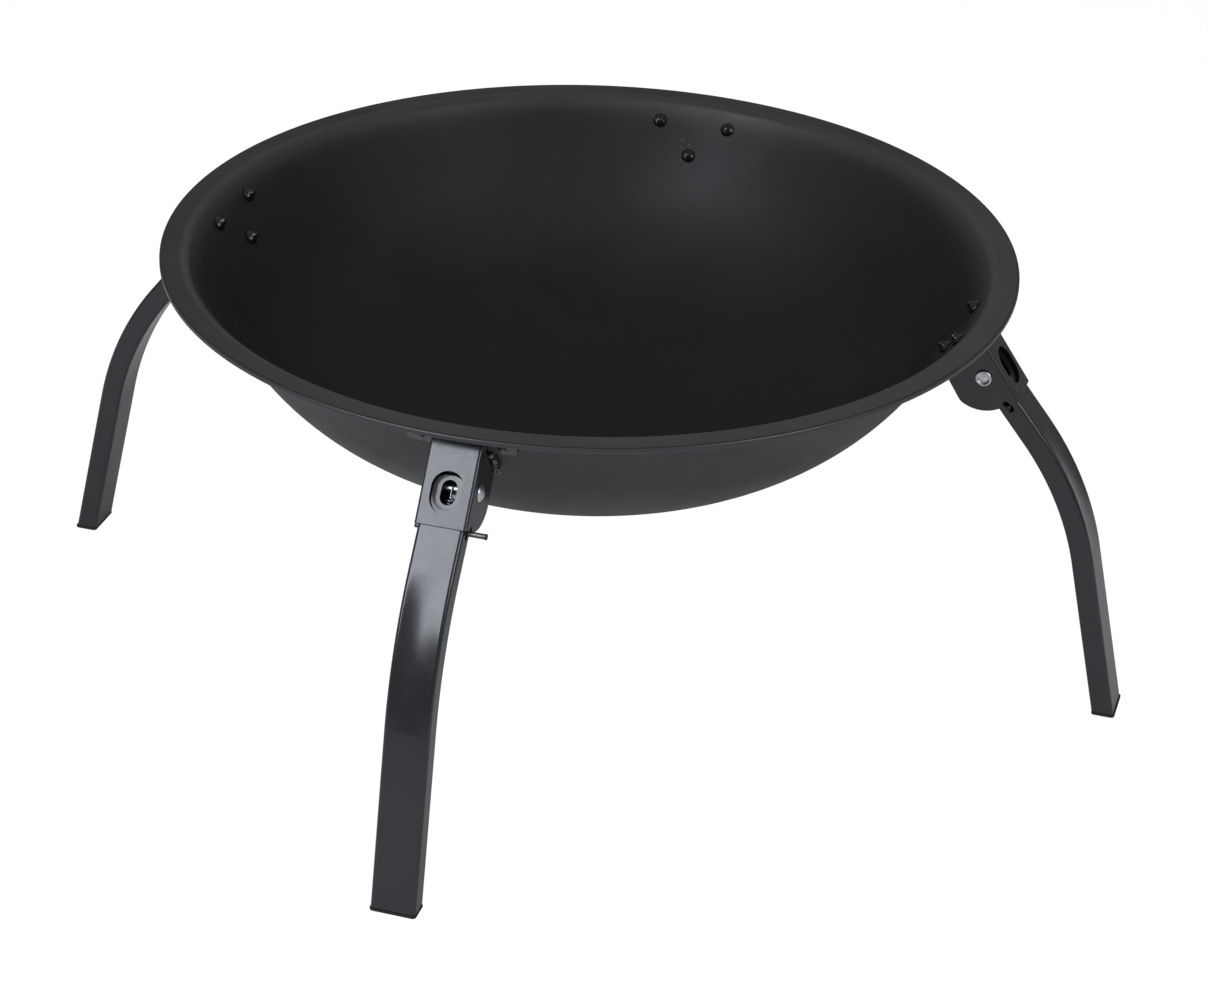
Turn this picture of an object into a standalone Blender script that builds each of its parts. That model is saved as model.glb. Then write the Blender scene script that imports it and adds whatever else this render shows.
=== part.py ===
"""Fire bowl with four folding legs.

Origin on the floor under the bowl's axis, +Z up, metres. Each leg has a station, an empty turned
about Z whose +X points outward and whose +Y points to the right as seen from outside.
"""

from math import acos, asin, atan2, cos, pi, radians, sin, sqrt, tan

import bmesh
import bpy
from mathutils import Matrix, Vector

# Bowl: a pressed dish of sheet steel with a conical wall, a flat rim and a short turned-down lip.
RIM_RADIUS = 0.290
RIM_HEIGHT = 0.2875
SHEET = 0.002
LIP_DROP = 0.0036
LIP_EDGE_RADIUS = 0.0014
RIM_BEND_RADIUS = 0.009
WALL_SLOPE = radians(55.2)
WALL_RADIUS = 0.2486
WALL_RADIUS_AT = 0.250
CROWN_RADIUS = 0.470
KNUCKLE_RADIUS = 0.182
BOTTOM_HEIGHT = 0.1393
BOWL_SIDES = 60

# Leg stations: azimuth of each leg in degrees.
STATIONS = {"front": -90, "right": 0, "back": 90, "left": 180}

# Pivot of a leg, and the bracket's outer face, which leans back as far as the wall leans out.
PIVOT_RADIUS = 0.2782
PIVOT_HEIGHT = 0.2444
LEAN = pi / 2 - WALL_SLOPE
FACE_OUT = 0.0132
FACE_TOP = 0.029
FACE_BOTTOM = 0.0253

# An open leg leans out this much further than the bracket's face, until its tube meets the face's
# lower edge.
LEG_OPENING = radians(4)
LEG_LEAN = LEAN + LEG_OPENING

# Bracket: a U channel of sheet steel, open to the bowl, whose side plates end in a round cam.
BRACKET_SHEET = 0.0015
BRACKET_WIDTH = 0.034
BRACKET_BEND = 0.0022
CHANNEL_DEPTH = 0.052
CAM_RADIUS = 0.0242
CAM_EDGE_ANGLE = radians(58)
CAM_EDGE_OFFSET = 0.0226
FACE_HOLE_WIDTH = 0.021
FACE_HOLE_LENGTH = 0.027
HOLE_BELOW_PIVOT = 0.0042

# Mounting plate: a T of thick sheet steel bent to the wall, with two ears and a tongue.
PLATE_SHEET = 0.003
PLATE_GAP = 0.00045
EAR_REACH = 0.0358
EAR_TOP = 0.281
EAR_BOTTOM = 0.2660
TONGUE_REACH = 0.0195
TONGUE_BOTTOM = 0.2445
EAR_CHAMFER = 0.0025
PLATE_BEND_LINES = (-0.0265, -0.0172, -0.006, 0.006, 0.0172, 0.0265)

# Leg: rectangular tube, straight at both ends with one bend between them.
TUBE_WIDTH = 0.030
TUBE_DEPTH = 0.015
TUBE_WALL = 0.0012
TUBE_CORNER = 0.0025
TUBE_TOP_RADIUS = 0.0113
TUBE_ABOVE_PIVOT = 0.013
BORE_CORNER = 0.0006
BEND_START = 0.054
BEND_RADIUS = 0.2245
BEND_STEPS = 6
FOOT_LEAN = radians(12.5)
TUBE_SLOT_WIDTH = 0.010
TUBE_SLOT_LENGTH = 0.016

# Foot plug, pressed into the tube's cut end.
PLUG_PLATE = 0.0018
PLUG_PROUD = 0.0004
PLUG_DEPTH = 0.014

# Semi-tubular pivot rivet.
RIVET_SHAFT = 0.0024
RIVET_HEAD = 0.0055
RIVET_DOME = 0.0026
RIVET_BORE = 0.0022
RING_FOOT = 0.0051
RING_FLOOR = 0.0006
RING_INNER = 0.0007
RING_CREST = 0.0016
RING_OUTER = 0.0008

# Lock pin, drawn at the mouth of its notch; it slides along the leg.
PIN_RADIUS = 0.00175
PIN_SWING = CAM_RADIUS + PIN_RADIUS + 0.0003
PIN_SEAT_TRAVEL = 0.0028
PIN_PULL_TRAVEL = 0.0024
PIN_LEFT_END = -0.0186
PIN_RIGHT_END = 0.028
PIN_HEAD = 0.0020
PIN_HEAD_LENGTH = 0.0012

# Extension spring from the rivet's shaft to the lock pin.
SPRING_WIRE = 0.00052
SPRING_COIL = 0.0027
SPRING_PITCH = 0.0019
SPRING_CURLS = 7
CURL_POINTS = 8
TOP_HOOK_ANGLE = radians(108)
FOOT_HOOK_ANGLE = radians(195)

# M6 button-head bolts through the wall, screwed into the mounting plate.
BOLT_SHANK = 0.0029
BOLT_CLEAR = 0.00025
BOLT_LENGTH = 0.0040
BOLT_HEAD = 0.00525
BOLT_HEAD_HEIGHT = 0.0033
BOLT_HEAD_EDGE = 0.0012
BOLT_CROWN = 0.0033
BOLT_SOCKET = 0.0023
BOLT_SOCKET_DEPTH = 0.002
BOLT_SPREAD = radians(5.75)
UPPER_BOLT_HEIGHT = 0.2721
LOWER_BOLT_HEIGHT = 0.2524

GAP = 0.0003
MERGE = 2e-6
ARC_STEP = radians(15)
ROUND_SIDES = 10
RIVET_SIDES = 12

# How far cutters reach: through one sheet, past an end face, and right across a leg.
CUT_SHEET = 0.006
CUT_PAST = 0.004
CUT_ACROSS = 0.03

# Directions in a station's plane, as (outward, up): down and out of the bracket, and of the leg.
DOWN_FACE = Vector((sin(LEAN), -cos(LEAN)))
OUT_OF_FACE = Vector((cos(LEAN), sin(LEAN)))
DOWN_LEG = Vector((sin(LEG_LEAN), -cos(LEG_LEAN)))
OUT_OF_LEG = Vector((cos(LEG_LEAN), sin(LEG_LEAN)))
STOP_OUT = (FACE_OUT - BRACKET_SHEET) * cos(LEG_OPENING) - FACE_BOTTOM * sin(LEG_OPENING)
TUBE_FACE = STOP_OUT - GAP
TUBE_AXIS_OUT = TUBE_FACE - TUBE_DEPTH / 2
PIN_DOWN = sqrt(PIN_SWING ** 2 - TUBE_AXIS_OUT ** 2)


def clear_scene():
    for old in list(bpy.data.objects):
        bpy.data.objects.remove(old, do_unlink=True)


def arc(centre, radius, start, end, step=ARC_STEP):
    """Points of an arc in a plane, both ends included, angles from the first axis."""
    count = max(1, round(abs(end - start) / step))
    angles = [start + (end - start) * i / count for i in range(count + 1)]
    return [(centre[0] + radius * cos(a), centre[1] + radius * sin(a)) for a in angles]


def stadium(centre, width, length, steps=5):
    """Outline of a slot with round ends that runs along the second axis."""
    radius = width / 2
    half = length / 2 - radius
    step = pi / steps
    top = arc((centre[0], centre[1] + half), radius, 0, pi, step)
    bottom = arc((centre[0], centre[1] - half), radius, pi, 2 * pi, step)
    return top + bottom


def rounded_box(width, depth, radius, steps):
    """Outline of a rectangle with round corners, centred on the origin."""
    outline = []
    step = pi / 2 / steps
    for quarter, (x, y) in enumerate(((1, 1), (-1, 1), (-1, -1), (1, -1))):
        corner = (x * (width / 2 - radius), y * (depth / 2 - radius))
        outline += arc(corner, radius, quarter * pi / 2, (quarter + 1) * pi / 2, step)
    return outline


def finished(bm, name):
    """Turn a bmesh into a mesh with its faces pointing out."""
    bmesh.ops.remove_doubles(bm, verts=bm.verts, dist=MERGE)
    bmesh.ops.recalc_face_normals(bm, faces=bm.faces)
    mesh = bpy.data.meshes.new(name)
    bm.to_mesh(mesh)
    bm.free()
    return mesh


def loft(name, rings):
    """Closed skin through rings of equally many points, capped at both ends."""
    bm = bmesh.new()
    loops = [[bm.verts.new(point) for point in ring] for ring in rings]
    count = len(rings[0])
    for low, high in zip(loops, loops[1:]):
        for i in range(count):
            j = (i + 1) % count
            bm.faces.new((low[i], low[j], high[j], high[i]))
    bm.faces.new(list(reversed(loops[0])))
    bm.faces.new(loops[-1])
    return finished(bm, name)


def turned(name, profile, sides):
    """Solid of revolution about Z from (radius, height) points that start and end on the axis."""
    bm = bmesh.new()
    verts = [bm.verts.new((radius, 0, height)) for radius, height in profile]
    edges = [bm.edges.new(pair) for pair in zip(verts, verts[1:])]
    bmesh.ops.spin(bm, geom=verts + edges, cent=(0, 0, 0), axis=(0, 0, 1), angle=2 * pi, steps=sides)
    return finished(bm, name)


def prism(name, outline, low, high, place):
    """Extrude an outline from low to high; place maps (u, v, height) to a point."""
    rings = [[place(u, v, height) for u, v in outline] for height in (low, high)]
    return loft(name, rings)


def combined(base, operation, *tools):
    """Mesh of the base after a Boolean with each tool in turn."""
    body = bpy.data.objects.new("body", base)
    bpy.context.scene.collection.objects.link(body)
    helpers = [body]
    for tool in tools:
        helper = bpy.data.objects.new("tool", tool)
        bpy.context.scene.collection.objects.link(helper)
        helpers.append(helper)
        modifier = body.modifiers.new("combine", "BOOLEAN")
        modifier.operation = operation
        modifier.solver = "EXACT"
        modifier.object = helper
    graph = bpy.context.evaluated_depsgraph_get()
    result = bpy.data.meshes.new_from_object(body.evaluated_get(graph))
    result.name = base.name
    for helper in helpers:
        bpy.data.objects.remove(helper, do_unlink=True)
    return result


def smooth(mesh, angle=radians(35)):
    mesh.shade_smooth()
    mesh.set_sharp_from_angle(angle=angle)


def material(name, colour, roughness, metallic):
    """Principled material with one colour."""
    surface = bpy.data.materials.new(name)
    surface.use_nodes = True
    shader = surface.node_tree.nodes["Principled BSDF"]
    shader.inputs["Base Color"].default_value = (*colour, 1)
    shader.inputs["Roughness"].default_value = roughness
    shader.inputs["Metallic"].default_value = metallic
    return surface


def bowl_paint():
    return material("heatproof_black_paint", (0.016, 0.016, 0.017), 0.62, 0.0)


def bracket_paint():
    return material("grey_black_coating", (0.032, 0.034, 0.039), 0.38, 0.0)


def leg_paint():
    return material("leg_coating", (0.032, 0.034, 0.040), 0.36, 0.0)


def plug_plastic():
    return material("black_plastic", (0.012, 0.012, 0.013), 0.55, 0.0)


def rivet_zinc():
    return material("bright_zinc", (0.72, 0.73, 0.74), 0.28, 1.0)


def pin_steel():
    return material("dull_steel", (0.22, 0.22, 0.20), 0.38, 1.0)


def spring_steel():
    return material("spring_steel", (0.50, 0.51, 0.52), 0.32, 1.0)


def bolt_black():
    return material("black_oxide", (0.010, 0.010, 0.011), 0.28, 0.6)


def in_bracket(out, down, across=0.0):
    """Point of a station's frame, origin at the pivot, from bracket coordinates."""
    spot = OUT_OF_FACE * out + DOWN_FACE * down
    return (spot.x, across, spot.y)


def in_leg(out, down, across=0.0):
    """Point of a station's frame, origin at the pivot, from leg coordinates."""
    spot = OUT_OF_LEG * out + DOWN_LEG * down
    return (spot.x, across, spot.y)


def leg_to_bracket(out, down):
    """Bracket coordinates of a point given in leg coordinates."""
    spot = OUT_OF_LEG * out + DOWN_LEG * down
    return (spot.dot(OUT_OF_FACE), spot.dot(DOWN_FACE))


def wall_radius(height):
    """Radius of the wall's outer face on its conical stretch."""
    return WALL_RADIUS + (height - WALL_RADIUS_AT) / tan(WALL_SLOPE)


def on_wall(angle, height, depth=0.0):
    """Point off the wall's outer face, by depth along the wall's outward normal."""
    radius = wall_radius(height) + depth * sin(WALL_SLOPE)
    return Vector((radius * cos(angle), radius * sin(angle), height - depth * cos(WALL_SLOPE)))


def dish_profile(inset):
    """Crown, knuckle and foot of the cone, from the axis outward, inset from the outer face."""
    up_wall = Vector((cos(WALL_SLOPE), sin(WALL_SLOPE)))
    inward = Vector((-sin(WALL_SLOPE), cos(WALL_SLOPE)))
    crown = Vector((0, BOTTOM_HEIGHT + CROWN_RADIUS))
    start = Vector((WALL_RADIUS, WALL_RADIUS_AT)) + inward * KNUCKLE_RADIUS
    offset = start - crown
    along = offset.dot(up_wall)
    rest = offset.length_squared - (CROWN_RADIUS - KNUCKLE_RADIUS) ** 2
    knuckle = start - up_wall * (along + sqrt(along ** 2 - rest))
    meet = atan2(knuckle.x - crown.x, crown.y - knuckle.y)
    low = -pi / 2
    crown_arc = arc(crown, CROWN_RADIUS - inset, low, low + meet, radians(9))
    knuckle_arc = arc(knuckle, KNUCKLE_RADIUS - inset, low + meet, low + WALL_SLOPE, radians(8))
    crown_arc[0] = (0.0, crown_arc[0][1])
    return crown_arc + knuckle_arc[1:]


def bowl_profile():
    """Points up the inside, over the rim and down the outside."""
    rim_bend_radius = wall_radius(RIM_HEIGHT - RIM_BEND_RADIUS) + (RIM_BEND_RADIUS - SHEET) / sin(WALL_SLOPE)
    rim_bend = (rim_bend_radius, RIM_HEIGHT - RIM_BEND_RADIUS)
    wall_side = pi / 2 + WALL_SLOPE
    inside_bend = arc(rim_bend, RIM_BEND_RADIUS, wall_side, pi / 2, radians(18))
    outside_bend = arc(rim_bend, RIM_BEND_RADIUS - SHEET, pi / 2, wall_side, radians(28))
    edge = (RIM_RADIUS - LIP_EDGE_RADIUS, RIM_HEIGHT - LIP_EDGE_RADIUS)
    lip = arc(edge, LIP_EDGE_RADIUS, pi / 2, 0, radians(45))
    lip.append((RIM_RADIUS, RIM_HEIGHT - LIP_DROP))
    lip.append((RIM_RADIUS - SHEET, RIM_HEIGHT - LIP_DROP))
    lip.append((RIM_RADIUS - SHEET, RIM_HEIGHT - SHEET))
    return dish_profile(SHEET) + inside_bend + lip + outside_bend + dish_profile(0)[::-1]


def bolt_seats():
    """Azimuth and height of the three bolts of a bracket."""
    return ((-BOLT_SPREAD, UPPER_BOLT_HEIGHT), (BOLT_SPREAD, UPPER_BOLT_HEIGHT), (0.0, LOWER_BOLT_HEIGHT))


def seat_frame(angle, height):
    """Frame on the wall's outer face whose +Z points through the wall into the bowl."""
    inward = Vector((-sin(WALL_SLOPE) * cos(angle), -sin(WALL_SLOPE) * sin(angle), cos(WALL_SLOPE)))
    across = Vector((-sin(angle), cos(angle), 0))
    side = across.cross(inward)
    turn = Matrix((side, across, inward)).transposed().to_4x4()
    return Matrix.Translation(on_wall(angle, height)) @ turn


def bolt_hole(angle, height):
    """Cutter for one clearance hole through the wall and the mounting plate."""
    radius = BOLT_SHANK + BOLT_CLEAR
    outline = arc((0, 0), radius, 0, 2 * pi, 2 * pi / ROUND_SIDES)[:-1]
    frame = seat_frame(angle, height)
    return prism("hole", outline, -CUT_SHEET, CUT_SHEET, lambda u, v, h: frame @ Vector((u, v, h)))


def bowl_mesh():
    holes = []
    for azimuth in STATIONS.values():
        holes += [bolt_hole(radians(azimuth) + angle, height) for angle, height in bolt_seats()]
    mesh = combined(turned("bowl", bowl_profile(), BOWL_SIDES), "DIFFERENCE", *holes)
    smooth(mesh)
    return mesh


def plate_outline():
    """Outline of the T plate as (across, height on the wall)."""
    right = [
        (EAR_REACH - EAR_CHAMFER, EAR_TOP),
        (EAR_REACH, EAR_TOP - EAR_CHAMFER),
        (EAR_REACH, EAR_BOTTOM + EAR_CHAMFER),
        (EAR_REACH - EAR_CHAMFER, EAR_BOTTOM),
        (TONGUE_REACH, EAR_BOTTOM),
        (TONGUE_REACH, TONGUE_BOTTOM + EAR_CHAMFER),
        (TONGUE_REACH - EAR_CHAMFER, TONGUE_BOTTOM),
    ]
    return right + [(-across, height) for across, height in reversed(right)]


def mount_plate_mesh():
    """T plate, cut along its bend lines, then laid round the wall and drilled."""
    faces = (PLATE_GAP, PLATE_GAP + PLATE_SHEET)
    flat = prism("mount_plate", plate_outline(), *faces, lambda u, v, h: (u, v, h))
    bm = bmesh.new()
    bm.from_mesh(flat)
    for line in PLATE_BEND_LINES:
        everything = bm.verts[:] + bm.edges[:] + bm.faces[:]
        bmesh.ops.bisect_plane(bm, geom=everything, plane_co=(line, 0, 0), plane_no=(1, 0, 0))
    bmesh.ops.triangulate(bm, faces=bm.faces)
    middle = wall_radius((EAR_TOP + TONGUE_BOTTOM) / 2)
    for vert in bm.verts:
        vert.co = on_wall(vert.co.x / middle, vert.co.y, vert.co.z)
    bent = finished(bm, "mount_plate")
    return combined(bent, "DIFFERENCE", *[bolt_hole(angle, height) for angle, height in bolt_seats()])


def side_outline():
    """Outline of the bracket's side plates in bracket coordinates, as (out, down) of the pivot."""
    mouth = PIN_RADIUS + GAP
    seat = leg_to_bracket(TUBE_AXIS_OUT, PIN_DOWN - PIN_SEAT_TRAVEL)
    drawn = leg_to_bracket(TUBE_AXIS_OUT, PIN_DOWN)
    notch = arc(seat, mouth, 0, -pi, radians(30))
    inner_mouth = seat[0] - mouth
    cam_start = pi / 2 - asin(inner_mouth / CAM_RADIUS)
    cam_corner = pi / 2 + LEAN + CAM_EDGE_ANGLE - acos(CAM_EDGE_OFFSET / CAM_RADIUS)
    cam = arc((0, 0), CAM_RADIUS, cam_start, cam_corner, radians(9))
    edge_normal = pi / 2 + LEAN + CAM_EDGE_ANGLE
    foot = Vector((cos(edge_normal), sin(edge_normal))) * CAM_EDGE_OFFSET
    edge_run = Vector((cos(edge_normal + pi / 2), sin(edge_normal + pi / 2)))
    behind = wall_line()
    low_end = cross_lines(foot, edge_run, *behind)
    high_end = cross_lines(Vector((0, -FACE_TOP)), Vector((1, 0)), *behind)
    front = FACE_OUT + BRACKET_SHEET
    outline = [(front, -FACE_TOP), (front, FACE_BOTTOM), (drawn[0] + mouth, FACE_BOTTOM)]
    return outline + notch + cam + [tuple(low_end), tuple(high_end)]


def wall_line():
    """A point and a direction of the line just off the mounting plate, in bracket coordinates."""
    depth = PLATE_GAP + PLATE_SHEET + GAP
    ends = []
    for height in (TONGUE_BOTTOM, EAR_TOP):
        spot = on_wall(0, height, depth)
        offset = Vector((spot.x - PIVOT_RADIUS, spot.z - PIVOT_HEIGHT))
        ends.append(Vector((offset.dot(OUT_OF_FACE), offset.dot(DOWN_FACE))))
    return ends[0], ends[1] - ends[0]


def cross_lines(first, first_run, second, second_run):
    """Point where two lines of a plane meet."""
    determinant = first_run.x * second_run.y - first_run.y * second_run.x
    offset = second - first
    return first + first_run * ((offset.x * second_run.y - offset.y * second_run.x) / determinant)


def channel_outline():
    """Cross-section of the U channel as (out, across), with bent corners."""
    half = BRACKET_WIDTH / 2
    inner_bend = BRACKET_BEND - BRACKET_SHEET
    corner = (FACE_OUT - BRACKET_BEND, half - BRACKET_BEND)
    outer = arc(corner, BRACKET_BEND, pi / 2, 0, radians(30))
    inner = arc(corner, inner_bend, 0, pi / 2, radians(45))
    side = [(FACE_OUT - CHANNEL_DEPTH, half)] + outer
    back = inner + [(FACE_OUT - CHANNEL_DEPTH, half - BRACKET_SHEET)]
    outer_loop = side + [(out, -across) for out, across in reversed(side)]
    inner_loop = [(out, -across) for out, across in reversed(back)] + back
    return outer_loop + inner_loop


def bracket_mesh():
    """Channel cut to the side plates' outline, with its oval hole and rivet holes."""
    span = FACE_TOP + CUT_PAST
    channel = prism("bracket", channel_outline(), -span, span, lambda u, v, h: in_bracket(u, h, v))
    sides = prism("sides", side_outline(), -CUT_ACROSS, CUT_ACROSS, lambda u, v, h: in_bracket(u, v, h))
    oval = stadium((0, HOLE_BELOW_PIVOT), FACE_HOLE_WIDTH, FACE_HOLE_LENGTH)
    low = FACE_OUT - CUT_PAST
    opening = prism("opening", oval, low, FACE_OUT + CUT_PAST, lambda u, v, h: in_bracket(h, v, u))
    shaped = combined(channel, "INTERSECT", sides)
    return combined(shaped, "DIFFERENCE", opening, rivet_hole())


def rivet_hole():
    outline = arc((0, 0), RIVET_SHAFT + GAP, 0, 2 * pi, 2 * pi / ROUND_SIDES)[:-1]
    return prism("rivet_hole", outline, -CUT_ACROSS, CUT_ACROSS, lambda u, v, h: (u, h, v))


def leg_path():
    """Stations along the tube's centreline: a centre and the outward normal, in (x, z)."""
    centre = OUT_OF_LEG * TUBE_AXIS_OUT
    stations = [(centre - DOWN_LEG * TUBE_ABOVE_PIVOT, OUT_OF_LEG)]
    radius = BEND_RADIUS - TUBE_DEPTH / 2
    bend_centre = centre + DOWN_LEG * BEND_START - OUT_OF_LEG * radius
    for i in range(BEND_STEPS + 1):
        angle = LEG_LEAN + (FOOT_LEAN - LEG_LEAN) * i / BEND_STEPS
        normal = Vector((cos(angle), sin(angle)))
        stations.append((bend_centre + normal * radius, normal))
    return stations


def tube_rings(outline, floor, start=0.0):
    """Rings of a section swept down the leg; the last one lies level, at height floor."""
    rings = []
    for centre, normal in leg_path():
        spots = [(centre + normal * out, across) for across, out in outline]
        rings.append([Vector((spot.x, across, spot.y)) for spot, across in spots])
    down = Vector((tan(FOOT_LEAN), 0, -1))
    rings[0] = [point - Vector((DOWN_LEG.x, 0, DOWN_LEG.y)) * start for point in rings[0]]
    rings.append([point + down * (point.z - floor) for point in rings[-1]])
    return rings


def tube_section(inset, steps=2):
    """Tube's outline as (across, out), inset from its outer face."""
    radius = max(TUBE_CORNER - inset, BORE_CORNER)
    return rounded_box(TUBE_WIDTH - 2 * inset, TUBE_DEPTH - 2 * inset, radius, steps)


def leg_tube_mesh():
    """Bent tube, open at both ends, rounded over the pivot and slotted for the spring and the pin."""
    plug_top = -PIVOT_HEIGHT + PLUG_PLATE + GAP
    outer = loft("leg_tube", tube_rings(tube_section(0), plug_top))
    bore = loft("bore", tube_rings(tube_section(TUBE_WALL, 1), plug_top - CUT_PAST, CUT_PAST))
    rounding = arc((0, 0), TUBE_TOP_RADIUS, 0, -pi, radians(12))
    reach = CUT_ACROSS
    waste = rounding + [(-reach, 0), (-reach, -reach), (reach, -reach), (reach, 0)]
    top = prism("top", waste, -reach, reach, lambda u, v, h: in_leg(u, v, h))
    oval = stadium((0, HOLE_BELOW_PIVOT), TUBE_SLOT_WIDTH, TUBE_SLOT_LENGTH)
    low = TUBE_FACE - CUT_PAST
    slot = prism("slot", oval, low, TUBE_FACE + CUT_PAST, lambda u, v, h: in_leg(h, v, u))
    return combined(outer, "DIFFERENCE", bore, top, slot, rivet_hole(), pin_slot())


def pin_slot():
    """Cutter for the slots that the lock pin slides in."""
    middle = PIN_DOWN + (PIN_PULL_TRAVEL - PIN_SEAT_TRAVEL) / 2
    width = 2 * (PIN_RADIUS + GAP)
    length = width + PIN_SEAT_TRAVEL + PIN_PULL_TRAVEL + 2 * GAP
    outline = stadium((TUBE_AXIS_OUT, middle), width, length)
    return prism("pin_slot", outline, -CUT_ACROSS, CUT_ACROSS, lambda u, v, h: in_leg(u, v, h))


def foot_plug_mesh():
    """Floor plate with a block that fills the tube's end."""
    floor = -PIVOT_HEIGHT
    down = Vector((tan(FOOT_LEAN), 0, -1))
    end_ring = tube_rings(tube_section(-PLUG_PROUD), floor)[-1]
    level_up = Vector((0, 0, PLUG_PLATE))
    plate = loft("foot_plug", [end_ring, [point + level_up for point in end_ring]])
    inner_ring = tube_rings(tube_section(TUBE_WALL + GAP, 1), floor + PLUG_PLATE / 2)[-1]
    block = loft("block", [inner_ring, [point - down * PLUG_DEPTH for point in inner_ring]])
    return combined(plate, "UNION", block)


def across_mesh(name, profile, sides=ROUND_SIDES):
    """Turned piece whose axis runs across the leg, +Z of the profile to the right."""
    mesh = turned(name, profile, sides)
    mesh.transform(Matrix.Rotation(-pi / 2, 4, "X"))
    smooth(mesh)
    return mesh


def pivot_rivet_mesh():
    """Rivet with a dome on the right and a rolled ring round its hollow end on the left."""
    seat = BRACKET_WIDTH / 2 + GAP
    dome_radius = (RIVET_HEAD ** 2 + RIVET_DOME ** 2) / (2 * RIVET_DOME)
    reach = asin(RIVET_HEAD / dome_radius)
    dome = arc((0, seat + RIVET_DOME - dome_radius), dome_radius, pi / 2 - reach, pi / 2, reach / 3)
    ring_middle = (RIVET_HEAD + RIVET_BORE) / 2
    profile = [
        (0.0, -seat - RING_FLOOR),
        (RIVET_BORE, -seat - RING_INNER),
        (ring_middle, -seat - RING_CREST),
        (RIVET_HEAD, -seat - RING_OUTER),
        (RING_FOOT, -seat),
        (RIVET_SHAFT, -seat),
        (RIVET_SHAFT, seat),
    ]
    profile += dome[:-1] + [(0.0, seat + RIVET_DOME)]
    return across_mesh("pivot_rivet", profile, RIVET_SIDES)


def lock_pin_mesh():
    """Round pin with a small head at its right end."""
    head_start = PIN_RIGHT_END - PIN_HEAD_LENGTH
    profile = [
        (0.0, PIN_LEFT_END),
        (PIN_RADIUS, PIN_LEFT_END),
        (PIN_RADIUS, head_start),
        (PIN_HEAD, head_start),
        (PIN_HEAD, PIN_RIGHT_END),
        (0.0, PIN_RIGHT_END),
    ]
    return across_mesh("lock_pin", profile)


def spring_points():
    """Centreline of the spring: a hook over the rivet, the curls, and a hook under the pin."""
    top = Vector((0.0, 0.0))
    foot = Vector((TUBE_AXIS_OUT, PIN_DOWN))
    run = (foot - top).normalized()
    side = Vector((run.y, -run.x))
    body = SPRING_CURLS * SPRING_PITCH
    top_hook = RIVET_SHAFT + SPRING_WIRE + 1.5 * GAP
    foot_hook = PIN_RADIUS + SPRING_WIRE + 1.5 * GAP
    free = (foot - top).length - body
    start = top_hook + (free - top_hook - foot_hook) / 2
    points = []
    for i in range(5):
        angle = TOP_HOOK_ANGLE * (1 - i / 4)
        spot = top + side * (top_hook * cos(angle)) - run * (top_hook * sin(angle))
        points.append((spot, 0.0))
    count = SPRING_CURLS * CURL_POINTS
    for i in range(count + 1):
        turn = 2 * pi * i / CURL_POINTS
        spot = top + run * (start + SPRING_PITCH * i / CURL_POINTS) + side * (SPRING_COIL * cos(turn))
        points.append((spot, SPRING_COIL * sin(turn)))
    for i in range(7):
        angle = FOOT_HOOK_ANGLE * i / 6
        spot = foot + side * (foot_hook * cos(angle)) + run * (foot_hook * sin(angle))
        points.append((spot, 0.0))
    return [Vector(in_leg(spot.x, spot.y, across)) for spot, across in points]


def least_gap(points, wire):
    """Least clear distance between runs of the wire more than half a curl apart."""
    apart = CURL_POINTS // 2 + 1
    least = min((a - b).length for i, a in enumerate(points) for b in points[i + apart:])
    return least - 2 * wire


def lock_spring_mesh():
    points = spring_points()
    print("least gap of the spring to itself, mm:", round(least_gap(points, SPRING_WIRE) * 1000, 2))
    curve = bpy.data.curves.new("lock_spring", "CURVE")
    curve.dimensions = "3D"
    curve.bevel_depth = SPRING_WIRE
    curve.bevel_resolution = 1
    curve.use_fill_caps = True
    spline = curve.splines.new("POLY")
    spline.points.add(len(points) - 1)
    for target, point in zip(spline.points, points):
        target.co = (*point, 1)
    holder = bpy.data.objects.new("wire", curve)
    bpy.context.scene.collection.objects.link(holder)
    graph = bpy.context.evaluated_depsgraph_get()
    mesh = bpy.data.meshes.new_from_object(holder.evaluated_get(graph))
    bpy.data.objects.remove(holder, do_unlink=True)
    mesh.shade_smooth()
    return mesh


def bolt_mesh():
    """Button-head bolt on its seat's frame: head in the bowl at +Z, shank through the wall."""
    under_head = SHEET + GAP
    top = under_head + BOLT_HEAD_HEIGHT
    profile = [
        (0.0, top),
        (BOLT_CROWN, top),
        (BOLT_HEAD, under_head + BOLT_HEAD_EDGE),
        (BOLT_HEAD, under_head),
        (BOLT_SHANK, under_head),
        (BOLT_SHANK, -BOLT_LENGTH),
        (0.0, -BOLT_LENGTH),
    ]
    body = turned("bolt", profile, ROUND_SIDES)
    hexagon = arc((0, 0), BOLT_SOCKET, 0, 2 * pi, pi / 3)[:-1]
    socket = prism("socket", hexagon, top - BOLT_SOCKET_DEPTH, top + CUT_PAST, lambda u, v, h: (u, v, h))
    mesh = combined(body, "DIFFERENCE", socket)
    smooth(mesh)
    return mesh


def add(name, mesh, surface, parent=None, place=Matrix()):
    """Object of a sub-part, with its material, placed in its parent's frame."""
    piece = bpy.data.objects.new(name, mesh)
    if not mesh.materials:
        mesh.materials.append(surface)
    bpy.context.scene.collection.objects.link(piece)
    piece.parent = parent
    piece.matrix_local = place
    return piece


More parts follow.
